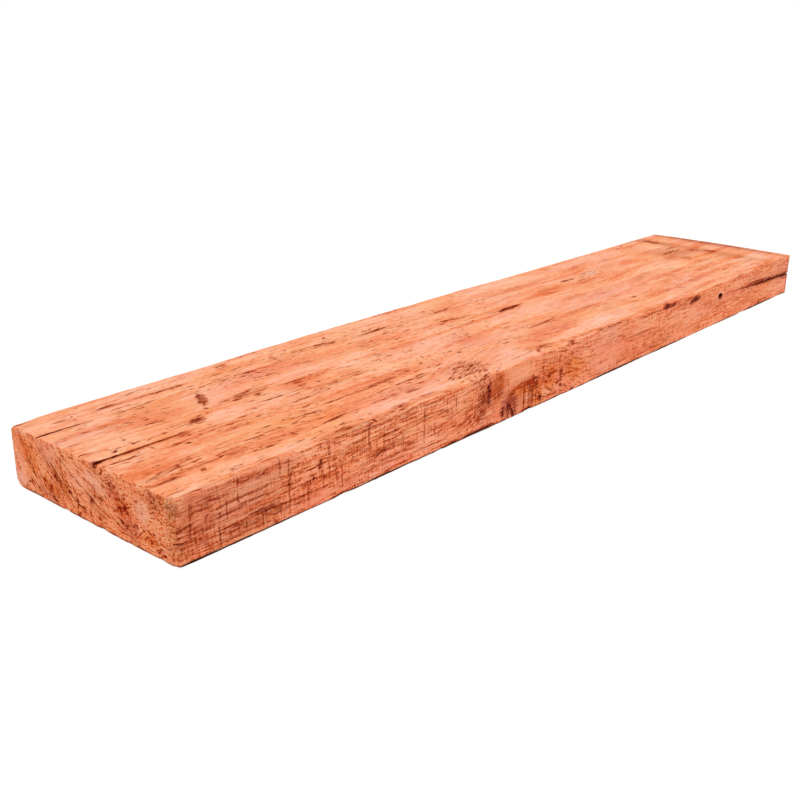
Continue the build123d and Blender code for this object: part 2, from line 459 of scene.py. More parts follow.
# Front strokes whose middles lie less than 3 mm up are painted shadow under the lower edge; the others are
# scratches and splits, darkened partly as painted shade.
FRONT_STROKES = (
    (11.4, 30, 1.1, 13), (12.4, 40, 0.8, 3), (26, 29.5, 3.4, 1.0, 45), (36, 12, 0.8, 8), (36.5, 27, 1, 3),
    (42.5, 30, 0.9, 9), (53, 46, 1.1, 5), (53, 33, 0.8, 8), (92, 12, 0.7, 8), (92, 44, 0.9, 7),
    (100.8, 26, 1.1, 24), (102.5, 34, 0.8, 5, -10), (119.3, 13, 1.2, 10), (135, 22, 0.7, 9),
    (141.7, 42, 1.3, 7), (141.5, 25, 0.7, 7), (149, 21, 1.0, 9), (155, 18, 0.6, 12), (166, 30, 0.6, 8),
    (185, 42, 1.0, 6), (185.3, 32, 1.2, 5), (185, 20, 0.8, 5), (252, 28, 1.1, 19), (271, 18, 0.9, 5),
    (294, 37, 1.0, 9), (60, 12, 0.6, 8), (75, 12, 0.6, 8), (202, 30, 0.6, 14), (226, 24, 0.7, 10, 5),
    (266, 24, 0.6, 8, -4), (308, 22, 0.9, 6, -12), (316, 30, 0.8, 4, -20), (321, 18, 0.8, 5, -15),
    (125, 24, 1.6, 1.6), (124, 26.5, 4.5, 0.8), (131, 31, 1.2, 2), (133, 36, 1, 3, -15), (193, 50, 1.8, 1.4),
    (224, 26, 1, 0.8), (199, 21, 9, 0.9, 6), (215, 35, 5, 0.9, 12), (305, 35, 1.5, 0.9), (284, 32, 3, 0.8),
    (326, 45, 0.7, 3.4, 12), (333, 45, 0.7, 3.6, -10), (329.6, 48.8, 3, 0.7), (334.4, 49, 0.9, 2),
    (338, 48.6, 0.8, 3.8, 30), (342, 43, 1, 3.6, 10), (338.9, 38.5, 1.8, 2.2), (341.2, 35, 1.9, 1.7),
    (339.2, 31, 1.2, 4.2), (339.4, 23.6, 0.9, 3), (332.5, 32.5, 1.2, 1.1), (332, 27.5, 1.1, 1.1),
    (331, 37, 0.9, 1.2), (344, 47.5, 1, 1.3), (346, 29, 1.2, 1.4), (349, 26, 1.2, 1.2), (347, 16.5, 0.9, 2.6),
    (336, 34, 0.8, 2.6, 10), (326, 24, 0.7, 2), (358, 42, 1, 1.3), (369, 34.5, 0.6, 4), (403.8, 43, 0.5, 5.4),
    (368.2, 11, 0.8, 5.4, -14), (375.4, 8.4, 0.9, 8.4, 32), (376.6, 4.4, 1.7, 4.2, 30), (362, 8.6, 1.2, 4),
    (394.5, 17, 1, 9), (403, 25, 0.7, 5), (409.4, 24, 1.1, 7.4), (414, 24, 1.1, 5.6), (408, 32, 1.8, 1.5),
    (414, 11.3, 1.6, 1.6), (421, 8.5, 1.9, 1.9), (422, 4, 1.1, 2.6), (418.6, 14, 0.8, 3.4, 20),
    (399, 27, 0.6, 3), (425.5, 36, 1.2, 2.2), (451.7, 38.5, 1.3, 2.6), (441.7, 14, 1, 1.7),
    (449, 14.7, 1.8, 1.3), (455.5, 11.3, 1.9, 1.9), (454, 22, 1.2, 2.4), (457, 29, 1.4, 1.7),
    (471.7, 32, 1.1, 1.8), (472, 36.5, 1.2, 1.2), (464, 8, 1.7, 1.5), (474, 48.5, 2, 2), (464, 22, 1.2, 1.1),
    (447, 6, 1, 2), (445, 10, 0.7, 3), (462, 30, 0.9, 1.4), (430, 33, 0.8, 1.8), (478, 3, 4, 0.9),
    (436, 12, 13, 0.6, -35), (434.5, 26, 1.6, 1.2), (66, 33, 14, 0.5), (82, 15, 7, 1.0), (46, 25.5, 14, 0.5),
    (112, 35, 12, 0.5), (37, 40, 20, 0.5), (205, 14.5, 34, 0.6, 4), (210, 24.5, 20, 0.5, 6),
    (610, 30, 28, 0.6), (625, 46, 24, 0.7), (550, 50, 28, 0.6), (2.6, 29.5, 2.6, 0.6, -15), (3, 26, 3, 0.6),
    (2.6, 22.5, 2.6, 0.6, 15), (4.5, 13, 2.2, 1.1, 10), (399, 1.8, 7, 1.6), (905, 28.5, 7, 1),
    (345, 2.6, 5, 1), (560, 1.2, 40, 0.6), (640, 1.2, 30, 0.6), (928, 29.4, 30, 0.9, -3),
    (972, 27.6, 26, 1.2, -2), (870, 30.5, 14, 0.7, -6), (796, 33, 7, 3.6),
)
STAINS = {
    "knot": {
        "front": ((384, 29, 34, 44), (354, 36, 14, 20)),
    },
    "scratch": {
        "top": TOP_STROKES,
        "front": FRONT_STROKES,
        "near_end": (
            (140.5, 25.5, 2.4, 1.3, 40), (135, 23, 2.2, 1.3, 30), (127, 21, 2.6, 1.3, 30),
            (123, 17.5, 2.2, 1.4, 30), (114, 14.7, 2.4, 1.3, 30), (106, 10.7, 2.6, 1.4, 25),
            (97.5, 8.3, 2.4, 1.3, 20), (149, 11, 2.6, 1.7, 40), (145, 6, 3, 1.7, 40), (164, 8, 2.2, 1.5),
            (95.7, 21.5, 1.3, 2.5), (92, 24, 1.6, 1.1), (55.7, 27, 1.6, 1.2, 40), (53, 24, 1.5, 1.5),
            (72, 35.5, 1.6, 1.3), (67, 39.5, 1.7, 1.1), (62, 24.7, 1.5, 1.1), (60, 14, 1.4, 1.4),
            (25.7, 48, 1.7, 1.7), (22.5, 43.5, 1.6, 1.1), (35.7, 16.5, 1.4, 1.4), (43, 17, 1.3, 1.3),
            (15.7, 29, 1.2, 1.5), (84, 24, 1.8, 1.8), (104, 35, 22, 0.45, 20), (112, 28.6, 18, 0.4, 27),
            (115, 12.8, 13, 0.5, 24), (167, 9, 9, 0.5, 38), (126, 37.8, 16, 0.4, 24),
            (140, 28.6, 12, 0.45, 40), (96, 21.6, 14, 0.4, 28), (160, 11.4, 9, 0.4, 55), (61, 15.5, 1.3, 1.3),
            (47, 16, 1.3, 1.3), (172, 20, 2.2, 1.3, 60), (178, 9, 1.6, 1.1), (3, 27, 2.8, 0.6, -20),
            (2, 31, 2.2, 0.6, 20), (3, 22, 2.8, 0.6, 10), (2, 17.5, 2.2, 0.6),
        ),
    },
    "light": {
        "near_end": (
            (104, 37.5, 24, 1.0, 20), (112, 31, 20, 0.8, 27), (115, 15.5, 15, 1.1, 24),
            (167, 12, 11, 1.2, 38), (160, 14, 11, 1.3, 55), (31, 30, 1.1, 8, -5), (37, 16.5, 6, 1.0, -30),
            (21, 16, 6.5, 1.1, 52), (12, 8, 6.5, 1.1, 32), (126, 40, 18, 0.9, 24), (140, 31, 14, 1.0, 40),
            (46, 30, 0.9, 9, -10), (150, 40, 9, 1.0, 50), (96, 24, 16, 1.0, 28), (74, 18, 12, 0.9, 20),
            (186, 16, 9, 1.1, 62), (84, 40, 14, 0.9, 18), (10, 20, 7, 0.9, 70),
        ),
    },
    # The front spots whose middles lie less than 3 mm up are painted shadow under the lower edge.
    "gum": {
        "front": (
            (368.2, 10.4, 0.9, 5.4, -14), (374.6, 9, 1.4, 8.4, 34), (376.8, 4.2, 2.3, 4.4, 32),
            (338.9, 38.5, 1.3, 1.7), (341.2, 35, 1.5, 1.1), (334.4, 49, 0.7, 1.4), (455.5, 11.3, 1.6, 1.6),
            (421, 8.5, 1.7, 1.7), (362, 8.4, 0.9, 3.4), (125.2, 24.4, 1.1, 1.0), (131.4, 31, 0.8, 1.2),
            (133.4, 35.4, 0.7, 1.8, -15), (414, 11.3, 1.1, 1.1), (332.4, 32.5, 0.9, 0.8), (663, 47, 9, 2.8),
            (677, 46, 7, 1.6), (732, 42.5, 12, 3.2), (722, 40, 6, 2), (193, 50.4, 0.9, 0.8),
            (324, 1.6, 24, 2.6), (338, 2.4, 9, 2), (292, 0.8, 14, 1.8), (400, 1.4, 8, 2), (160, 0.8, 11, 1.0),
            (12, 0.4, 12, 0.9), (236, 0.3, 24, 0.6), (476, 1.6, 4, 0.9), (60, 0.2, 30, 0.5),
        ),
        "top": ((517, 115.4, 6, 1.6), (534, 117, 16, 3.2)),
    },
    "brown": {
        "top": (
            (29, 177.5, 7, 1.6), (70, 177, 12, 2.0), (92, 176, 5, 2.2), (115, 176.5, 11, 1.6),
            (138, 175.5, 9, 1.7), (175, 175.5, 9, 2.0), (194, 186, 2.5, 9), (245, 171.5, 8, 2.6),
            (273, 172, 12, 2.0), (315, 169, 24, 3.2), (372, 165, 34, 2.0), (384, 163.5, 6, 1.6),
            (425, 164, 25, 1.6), (465, 162.5, 28, 2.2), (487, 164, 8, 2.6), (527, 165.5, 5, 3),
            (560, 161, 20, 2.4), (605, 161, 25, 4), (645, 161, 28, 3), (675, 162, 9, 2.4),
            (99, 161.5, 4, 1.2), (123, 161.5, 6, 1.6), (196, 158.5, 8, 2.8), (90, 155.5, 4, 1.8),
            (108, 155.5, 4, 1.8), (30, 165, 14, 1.2), (10, 187, 9, 1.4), (35, 170, 5, 1.4), (62, 133, 1.6, 4),
            (76, 131, 1.8, 2.5), (95, 131, 7, 1.5), (66, 125, 9, 1.4), (133, 136, 15, 3.4, 58),
            (130, 128, 7, 2.6, 75), (102, 102, 8, 5.5, 30), (90, 98, 3, 2.4), (109, 108, 2.6, 1.8),
            (77, 90, 5, 4), (70, 83, 12, 2), (152, 121, 16, 1.6, -6), (188, 119, 6, 2.4, 30),
            (215, 83, 7, 3.2), (236, 85, 7, 2), (237, 107, 4, 2.4), (265, 91, 12, 2), (190, 88, 8, 3),
            (88, 52, 5, 2), (107, 41, 4, 2.4), (125, 51, 7, 1.8), (24, 30, 6, 2), (14, 26, 10, 1.8),
            (14, 33, 6, 1.6), (45, 29, 2, 4), (54, 32, 6, 1.6), (73, 29, 8, 1.6), (104, 28, 9, 3),
            (119, 25.5, 5, 2), (132, 28, 2.4, 3.4), (142, 30, 6, 1.8), (178, 27, 16, 2, 4), (87, 14, 7, 1.8),
            (124, 13, 7, 1.4), (148, 12.5, 7, 1.6), (165, 6, 9, 4), (60, 9, 7, 2), (200, 28, 6, 2),
            (225, 28, 6, 2.4), (266, 26, 10, 4.5), (247, 29, 12, 2.4), (268, 8, 9, 2.6), (232, 8, 10, 2.6),
            (200, 3, 18, 2), (228, 2, 8, 2), (280, 3, 9, 2), (310, 18, 8, 3, 25), (320, 14, 6, 2),
            (320, 6, 6, 2.4, 30), (338, 27, 22, 12), (350, 17, 9, 5, 25), (345, 40, 12, 5),
            (293, 65, 5, 2, 20), (266, 52, 4, 2), (330, 50, 10, 2), (323, 38, 6, 2), (342, 114, 4, 4),
            (418, 28, 5, 4), (426, 18, 7, 4.5), (440, 14, 14, 5.5), (426, 4, 4, 3.4), (505, 4, 6, 4),
            (478, 5, 9, 2), (418, 151, 5, 3), (455, 134, 18, 3), (503, 120, 7, 2.6), (460, 195, 12, 2.4),
            (527, 190, 9, 3.4), (556, 190, 15, 2.6), (675, 139, 6, 3), (687, 137.5, 5, 2.4),
            (691, 127, 9, 2.4), (686, 115, 13, 3.4), (668, 130, 12, 3), (620, 132, 14, 5), (720, 143, 6, 2.4),
            (735, 145, 10, 2.4), (666, 43, 7, 3.4), (644, 41, 5, 2.6), (626, 19, 6, 3.4), (634, 2.5, 18, 2),
            (720, 31, 10, 3.6), (740, 24, 9, 3), (752, 35, 11, 3), (790, 30, 16, 4.5), (720, 62, 11, 3),
            (790, 60, 13, 3), (600, 38, 12, 3), (604, 62, 8, 2.4), (640, 67, 24, 2.6), (575, 59, 26, 2.4, 3),
            (775, 88, 10, 5), (888, 96, 9, 9), (925, 135, 16, 4), (938, 108, 14, 5), (944, 85, 12, 6),
            (950, 150, 11, 5), (948, 166, 12, 11), (948, 188, 14, 8), (984, 137, 12, 3), (888, 68, 13, 4),
            (880, 54, 9, 3), (838, 50, 9, 3), (888, 25, 11, 3.6), (930, 26, 16, 4.4), (936, 43, 12, 5),
            (820, 78, 7, 3), (862, 27, 9, 3), (882, 148, 16, 4), (893, 131, 12, 3), (870, 105, 14, 5),
            (850, 2, 12, 3), (918, 1, 16, 3), (930, 62, 12, 8),
        ),
        "front": (
            (16, 28, 14, 22), (48, 10, 44, 5), (75, 16, 12, 3), (24, 24, 9, 3, 20), (60, 34, 22, 1.6),
            (66, 25, 14, 1.4), (132, 33, 3, 6, 10), (124, 24, 3, 3), (115, 22, 12, 1.6), (165, 37, 20, 2, 5),
            (158, 26, 12, 1.4), (200, 21, 14, 2, 6), (214, 35, 8, 2, 12), (284, 32, 7, 2.4), (306, 34, 5, 2),
            (195, 11, 24, 2, 3), (180, 45, 14, 2), (230, 43, 14, 2), (250, 35, 8, 1.6), (275, 15, 9, 3),
            (285, 24, 6, 2), (300, 12, 9, 2), (328, 16, 12, 3), (332, 29, 5, 4), (320, 48, 8, 2),
            (355, 33, 6, 11), (365, 27, 8, 4.4, 52), (379, 32, 10, 3.2, 16), (396, 32, 12, 3.2, -6),
            (411, 28, 9, 4, -38), (354, 35, 8, 12), (377.5, 14, 5, 9), (361.5, 10, 3, 8), (405.5, 12, 4, 11),
            (400, 2, 9, 2.4), (330, 32, 8, 16), (374, 15, 7, 7), (342, 34, 5, 14), (352, 38, 10, 12),
            (915, 31, 56, 5, -3), (975, 28, 30, 5), (436, 26, 5, 3), (455, 24, 4, 6, 30), (474, 48, 6, 2),
            (440, 40, 10, 3, -10), (490, 38, 14, 2, -6), (480, 12, 9, 2), (500, 24, 16, 2), (535, 34, 18, 2),
            (550, 49, 28, 1.6), (525, 16, 6, 2), (592, 17, 6, 2), (610, 30, 30, 1.4), (625, 46, 24, 2),
            (640, 24, 20, 3.4), (648, 10, 32, 2.6), (570, 9, 22, 2), (705, 41, 18, 1.6, -4),
            (700, 20, 24, 2.4), (730, 12, 30, 2), (765, 30, 18, 2), (830, 33, 18, 2), (865, 31, 18, 2.6, -5),
            (905, 28.5, 14, 2.8), (935, 28.5, 12, 2.6), (962, 26.5, 10, 2.6), (985, 28, 12, 2.6),
            (985, 5, 11, 3), (908, 6, 4, 2), (924, 49, 10, 1.6), (870, 14, 26, 2.2), (905, 40, 20, 2),
            (996, 20, 4, 24), (840, 46, 14, 2),
        ),
        "near_end": (
            (136, 24, 20, 7, 42), (158, 10, 12, 6, 45), (22, 38, 10, 9, 40), (64, 30, 20, 9, 35),
            (52, 10, 10, 6, 20), (24, 43, 6, 4, 10), (96, 21, 2, 4, 80), (90, 45, 5, 5),
        ),
    },
    "red": {
        "top": (
            (55, 143, 60, 5), (88, 132, 24, 12), (20, 142, 20, 3), (20, 50, 35, 10), (215, 101, 20, 12),
            (262, 98, 10, 6), (260, 61, 70, 6), (320, 56, 28, 5), (225, 150, 60, 10), (110, 175, 50, 4),
            (355, 112, 20, 6), (310, 140, 60, 8), (415, 75, 22, 18), (435, 132, 40, 6), (490, 155, 14, 8),
            (500, 40, 45, 14), (470, 30, 35, 10), (620, 125, 50, 10), (700, 150, 30, 10), (740, 122, 25, 8),
            (735, 78, 14, 8), (780, 146, 40, 7), (815, 133, 25, 10), (812, 33, 18, 6), (870, 145, 26, 10),
            (880, 170, 25, 8), (930, 108, 26, 18), (960, 86, 26, 5), (975, 120, 20, 6), (605, 160, 40, 6),
            (760, 192, 30, 5), (640, 75, 40, 6),
        ),
        "front": (
            (20, 28, 14, 26), (354, 36, 10, 15), (354, 10, 6, 9), (340, 35, 5, 12), (374, 12, 9, 11),
            (395, 26, 22, 5), (140, 12, 45, 10), (70, 45, 40, 3), (300, 20, 30, 10), (440, 30, 30, 15),
            (560, 25, 50, 12),
        ),
        "near_end": ((185, 38, 14, 8, 65), (60, 25, 24, 10, 35), (148, 12, 18, 8, 25)),
    },
    "rust": {
        "top": (
            (133.5, 137, 15, 4.0, 62), (101, 102, 8, 5.5, 40), (204, 159, 8, 3), (213, 105, 7, 5, 60),
            (172, 112, 4, 3), (260, 57, 44, 2.5, 2), (38, 88.8, 42, 2.2), (74, 88, 7, 3.4),
            (20, 160.6, 24, 1.2), (72, 177, 18, 1.8), (112, 176.4, 16, 1.6), (140, 176, 9, 1.4),
            (30, 177, 8, 1.4), (118, 161.5, 32, 0.9), (155, 119, 24, 1.3, -4), (215, 113.8, 15, 1.2),
            (18, 29, 12, 1.6), (204, 55.3, 12, 1.4), (158, 119, 6, 2), (676, 139, 8, 3), (948, 90, 7, 6),
            (938, 108, 8, 5), (945, 172, 6, 12), (200, 188, 3, 6), (132, 28, 3, 4), (176, 27, 14, 1.6, 6),
            (533, 117, 22, 3.4), (505, 58, 26, 1.8, 3), (905, 122, 22, 4),
        ),
        "front": (
            (340, 35, 3.2, 12, 5), (332, 30, 2.6, 6), (356.6, 29, 4, 5), (361, 9, 1.8, 5),
            (914, 30.5, 60, 2.6, -3), (978, 27.5, 26, 2.6), (397, 26.5, 13, 3.8), (379, 25, 7, 2.6, 18),
            (409, 24, 7, 7), (420, 8, 3.6, 3.4), (361.6, 10, 2, 7), (394.5, 14, 1.4, 10),
            (434.5, 26, 3.6, 2.8), (455, 20, 2.6, 8), (915, 29, 46, 1.6, -2), (975, 27.5, 26, 1.6),
            (60, 15, 36, 1.6), (75, 17, 14, 2.0), (197, 21.5, 10, 1.2, 6), (132, 33, 2, 4),
            (700, 46.5, 44, 1.1, -4),
        ),
        "near_end": (
            (136, 22, 12, 5, 40), (148, 11, 14, 8, 20), (112, 12, 16, 1.6, 26), (24, 45, 4, 3, 40),
            (70, 37, 8, 5, 40), (56, 27, 3.4, 2.6, 40), (84, 24, 3, 3), (96, 21, 3, 4), (50, 14, 9, 4.4),
            (174, 24, 8, 3, 55), (60, 12, 10, 4, 20),
        ),
    },
    "tan": {
        "top": (
            (880, 112, 12, 7), (965, 112, 10, 8), (92, 130, 40, 26), (115, 58, 50, 18), (160, 104, 20, 12),
        ),
        "front": (
            (353, 36, 10, 17), (480, 22, 18, 12), (436, 24, 10, 14), (395, 24, 26, 7), (416, 14, 8, 14),
        ),
        "near_end": (
            (148, 13, 13, 6, 25), (174, 30, 14, 8, 60), (134, 22, 14, 6, 40), (58, 26, 10, 6, 40),
            (28, 12, 11, 5),
        ),
    },
    "rosy": {
        "top": (
            (670, 70, 120, 26), (350, 92, 60, 24), (415, 74, 24, 18), (480, 46, 60, 18), (250, 28, 60, 22),
            (360, 30, 60, 30), (980, 100, 18, 110), (560, 100, 70, 14), (770, 178, 90, 16), (780, 22, 70, 18),
            (200, 140, 60, 14),
        ),
        "front": ((540, 28, 26, 30), (965, 30, 30, 30), (386, 12, 4, 8), (40, 32, 34, 14)),
        "near_end": ((150, 38, 12, 11, 50), (192, 24, 8, 24), (112, 28, 24, 5, 30), (38, 34, 8, 8, 60)),
    },
    "dusk": {
        "top": ((945, 100, 12, 110), (990, 100, 10, 110), (900, 120, 30, 26), (165, 3, 30, 4)),
        "front": (
            (8, 28, 10, 34), (60, 30, 44, 30), (330, 26, 9, 22), (930, 29, 62, 5), (370, 12, 9, 10),
            (387, 12, 9, 10), (354, 35, 9, 14), (374, 14, 8, 9), (990, 28, 14, 6), (404, 12, 6, 12),
        ),
        "near_end": ((5, 26, 6, 26), (22, 42, 12, 6), (90, 20, 14, 9, 35), (4, 42, 6, 8)),
    },
    "weathered": {
        "near_end": ((9, 44, 7, 3.4, 35), (3, 41, 3, 8, 10), (202, 26, 1.2, 22)),
        "front": ((0.8, 43, 1.6, 6),),
    },
    "pale": {
        "top": (
            (35, 118, 30, 12), (15, 186, 20, 8), (48, 155, 15, 5), (230, 16, 26, 7), (290, 12, 26, 6),
            (278, 114, 16, 6), (292, 82, 22, 12), (335, 88, 40, 14), (380, 95, 32, 14), (500, 94, 26, 11),
            (590, 25, 50, 8), (556, 92, 30, 14), (447, 184, 30, 9), (650, 180, 30, 8), (765, 184, 45, 12),
            (640, 26, 40, 7), (690, 8, 40, 5), (843, 86, 26, 14), (900, 15, 42, 8), (961, 166, 9, 8),
            (922, 158, 22, 9), (410, 10, 14, 8), (400, 36, 30, 8), (130, 98, 22, 8), (165, 98, 24, 14),
            (20, 6, 18, 5), (120, 8, 18, 6), (30, 184, 40, 12), (170, 190, 130, 6), (400, 186, 110, 10),
            (620, 180, 90, 10), (520, 18, 70, 8), (205, 127, 12, 5), (350, 90, 40, 14), (235, 125, 30, 8),
            (150, 190, 90, 8), (90, 172, 50, 2), (105, 164, 50, 2), (200, 190, 50, 6), (800, 95, 30, 10),
            (960, 30, 20, 14),
        ),
        "front": (
            (251, 20, 12, 8), (300, 33, 16, 12), (388, 41, 18, 8), (388, 40, 14, 9), (30, 31, 26, 2),
            (15, 46, 16, 3), (83, 39, 22, 3), (370.8, 8, 1.3, 4), (540, 28, 26, 24), (600, 38, 36, 10),
            (440, 40, 12, 5), (389.5, 14, 2, 7), (399.5, 14, 2.4, 6), (429, 12, 5, 6), (450, 28, 4, 4),
            (796, 33, 11, 9), (110, 45, 18, 3), (150, 8, 26, 3), (530, 22, 30, 5), (590, 38, 30, 6),
            (690, 31, 26, 6), (850, 40, 30, 5), (740, 22, 30, 5), (940, 14, 30, 5), (230, 28, 12, 3),
            (170, 17, 14, 4),
        ),
        "near_end": (
            (190, 8, 10, 5), (88, 34, 14, 5, 25), (36, 30, 7, 9, 60),
        ),
    },
    "mauve": {
        "top": ((0, 90, 4, 5), (995, 120, 6, 90)),
        "front": (
            (383, 12, 3, 8), (374, 13, 9, 10), (362, 10, 4, 9), (340, 34, 5, 12), (368, 14, 9, 12),
            (932, 29, 46, 2.8, -3), (985, 26, 22, 4.4), (997, 25, 4, 26),
        ),
        "near_end": ((153, 37, 10, 6, 50), (5, 41, 6, 8), (90, 44, 8, 5)),
    },
}


FINER_REACH = 1010  # out to here from the near end, the mesh is halved where scratches lie, in millimetres
FINEST_REACH = 480  # and out to here it is halved again on the faces that are seen from close by


def stained(right, up, spots, wider=0.0):
    """How strongly the spots, or wider ones, stain each place of a flat face, from 0 to 1."""
    faded, fading = 1.7, 1.4  # in half sizes of the spot: where a stain ends, and over how much it fades
    strength = np.zeros(len(right))
    for middle_right, middle_up, half_length, half_width, *turn in spots:
        turn = math.radians(turn[0]) if turn else 0.0
        off_right, off_up = right - middle_right, up - middle_up
        lengthwise = off_right * math.cos(turn) + off_up * math.sin(turn)
        crosswise = off_up * math.cos(turn) - off_right * math.sin(turn)
        away = np.hypot(lengthwise / (half_length + wider), crosswise / (half_width + wider))
        strength = np.maximum(strength, smooth((faded - away) / fading))
    return strength


def seen_faces(shape, along, across, height):
    """For each face that has stains, where the places lie on it, and whether they do."""
    edge = 3.0  # how far a face's stains run over its edges, in millimetres
    return {
        "top": (along, across, height > shape.thickness / MM - edge),
        "front": (along, height, across < edge),
        "near_end": (across, height, along < edge),
    }


def along_across_height(shape, places):
    """The places in millimetres from the near end, the front edge and the underside."""
    corner = np.array((-shape.length / 2, -shape.width / 2, 0))
    return ((places - corner) / MM).T


def cut_finer(plank, shape, sides, reach):
    """Halves the mesh where scratches lie on the sides given, out to a distance from the near end."""
    centres = np.empty(len(plank.data.polygons) * 3)
    plank.data.polygons.foreach_get("center", centres)
    along, across, height = along_across_height(shape, centres.reshape(-1, 3))
    faces = seen_faces(shape, along, across, height)
    margin = 0.8  # how far round a scratch the mesh is halved, in millimetres
    marked = np.zeros(len(along), bool)
    for side in sides:
        right, up, on_side = faces[side]
        thin = STAINS["scratch"][side] + STAINS["light"].get(side, ())
        marked |= on_side & (stained(right, up, thin, wider=margin) > 0)
    marked &= along < reach
    deselect_all()
    plank.select_set(True)
    bpy.context.view_layer.objects.active = plank
    bpy.ops.object.mode_set(mode="EDIT")
    select_in_edit(plank, "FACE", lambda face: marked[face.index])
    bpy.ops.mesh.subdivide(number_cuts=1)
    bpy.ops.object.mode_set(mode="OBJECT")


def note_wood(plank, shape):
    """Writes the stains, and how deep each vertex lies below the faces, for the wood to be coloured by, with
    painted shade in its hollows.
    """
    places = points_of(plank)
    along, across, height = along_across_height(shape, places)
    end = (shape.length - shape.far_end_bow * (2 * across * MM / shape.width - 1) ** 2) / MM
    back = back_edge(shape, along * MM) / MM
    below_top = shape.thickness / MM - height
    depth = np.clip(np.min((height, below_top, across, back - across, along, end - along), axis=0), 0, None)
    plank.data.attributes.new("depth", "FLOAT", "POINT").data.foreach_set("value", depth)

    ragged = 0.9  # how far the outlines of the stains stray, in millimetres
    shift = [rough(places, (5 * MM,) * 3, seed=seed) * ragged for seed in (21.0, 22.0, 23.0)]
    faces = seen_faces(shape, along + shift[0], across + shift[1], height + shift[2])
    for kind, spots_on in STAINS.items():
        strength = np.zeros(len(places))
        for face, spots in spots_on.items():
            right, up, on_face = faces[face]
            strength = np.maximum(strength, stained(right, up, spots) * on_face)
        plank.data.attributes.new(kind, "FLOAT", "POINT").data.foreach_set("value", strength)


class Value:
    """A number that varies over the surface. Sums on it add Math nodes to its finish."""

    def __init__(self, finish, socket):
        self.finish = finish
        self.socket = socket

    def _math(self, operation, *terms):
        return self.finish.add("ShaderNodeMath", {"operation": operation}, dict(enumerate(terms)))

    def __add__(self, other):
        return self._math("ADD", self, other)

    __radd__ = __add__

    def __sub__(self, other):
        return self._math("SUBTRACT", self, other)

    def __rsub__(self, other):
        return self._math("SUBTRACT", other, self)

    def __mul__(self, other):
        return self._math("MULTIPLY", self, other)

    __rmul__ = __mul__

    def __truediv__(self, other):
        return self._math("DIVIDE", self, other)

    def __abs__(self):
        return self._math("ABSOLUTE", self)

    def most(self, other):
        return self._math("MAXIMUM", self, other)

    def turn_from(self, other):
        """The angle whose tangent is this over the other."""
        return self._math("ARCTAN2", self, other)


class Finish:
    """The nodes of a new material or world, added one by one."""

    def __init__(self, name, home="materials"):
        self.made = getattr(bpy.data, home).new(name)
        self.made.use_nodes = True
        self.nodes = self.made.node_tree.nodes
        self.links = self.made.node_tree.links
        self.nodes.clear()

    def add(self, kind, settings=None, inputs=None, output=0):
        """Adds a node, its settings first and then its sockets, and returns one output."""
        node = self.nodes.new(kind)
        for name, setting in (settings or {}).items():
            if name == "stops":
                self._set_stops(node.color_ramp, setting)
            else:
                setattr(node, name, setting)
        for name, value in (inputs or {}).items():
            if isinstance(value, Value):
                self.links.new(value.socket, node.inputs[name])
            else:
                node.inputs[name].default_value = value
        return Value(self, node.outputs[output])

    def show(self, shader, output="ShaderNodeOutputMaterial"):
        """Ends the nodes with the shader given, and returns the material or world."""
        end = self.nodes.new(output)
        self.links.new(shader.socket, end.inputs["Surface"])
        return self.made

    def _set_stops(self, ramp, stops):
        while len(ramp.elements) < len(stops):
            ramp.elements.new(1)
        for element, (place, colour) in zip(ramp.elements, stops):
            element.position = place
            element.color = colour

    def noise(self, place, scale=1.0, detail=2.0, roughness=0.5, dimensions="3D"):
        """Noise from 0 to 1, with its average near a half. A plain number is a place along one line."""
        key = "W" if dimensions == "1D" else "Vector"
        inputs = {key: place, "Scale": scale, "Detail": detail, "Roughness": roughness}
        return self.add("ShaderNodeTexNoise", {"noise_dimensions": dimensions}, inputs)

    def pattern(self, place, size, detail=2.0, roughness=0.5):
        """Noise whose patches are about as large as size along x, y and z."""
        return self.noise(self.vector("DIVIDE", place, size), detail=detail, roughness=roughness)

    def vector(self, operation, *terms):
        """Vector arithmetic."""
        return self.add("ShaderNodeVectorMath", {"operation": operation}, dict(enumerate(terms)))

    def length(self, vector):
        """The length of a vector, as a number."""
        return self.add("ShaderNodeVectorMath", {"operation": "LENGTH"}, {0: vector}, output="Value")

    def join(self, x=0.0, y=0.0, z=0.0):
        """A vector from three numbers."""
        return self.add("ShaderNodeCombineXYZ", None, {"X": x, "Y": y, "Z": z})

    def split(self, vector):
        """The three numbers of a vector."""
        outputs = self.add("ShaderNodeSeparateXYZ", None, {0: vector}).socket.node.outputs
        return [Value(self, socket) for socket in outputs]

    def attribute(self, name):
        """A number that is written on the mesh."""
        return self.add("ShaderNodeAttribute", {"attribute_name": name}, output="Fac")

    def rise(self, value, low, high):
        """0 below low and 1 above high, with a smooth rise between. Works downwards too."""
        settings = {"interpolation_type": "SMOOTHSTEP"}
        return self.add("ShaderNodeMapRange", settings, {"Value": value, "From Min": low, "From Max": high})

    def blend(self, factor, first, second, mode="MIX"):
        """Blends two colours."""
        settings = {"data_type": "RGBA", "blend_type": mode, "clamp_factor": True}
        return self.add("ShaderNodeMix", settings, {0: factor, 6: first, 7: second}, output=2)

    def ramp(self, value, *stops):
        """The colour that the value has between the stops, which are pairs of a value and a colour."""
        stops = [(place, opaque(colour)) for place, colour in stops]
        return self.add("ShaderNodeValToRGB", {"stops": stops}, {"Fac": value}, output="Color")


def opaque(colour):
    """The colour with the fourth number that a colour socket takes."""
    return (*colour, 1.0)


CALMER = (430, 560)  # between these distances from the near end, the torn grain gives way to a calmer one
TONES = (0.02, 0.28, 0.55, 0.95)  # where dark, brown, plain and pale wood lie between no tone and full tone


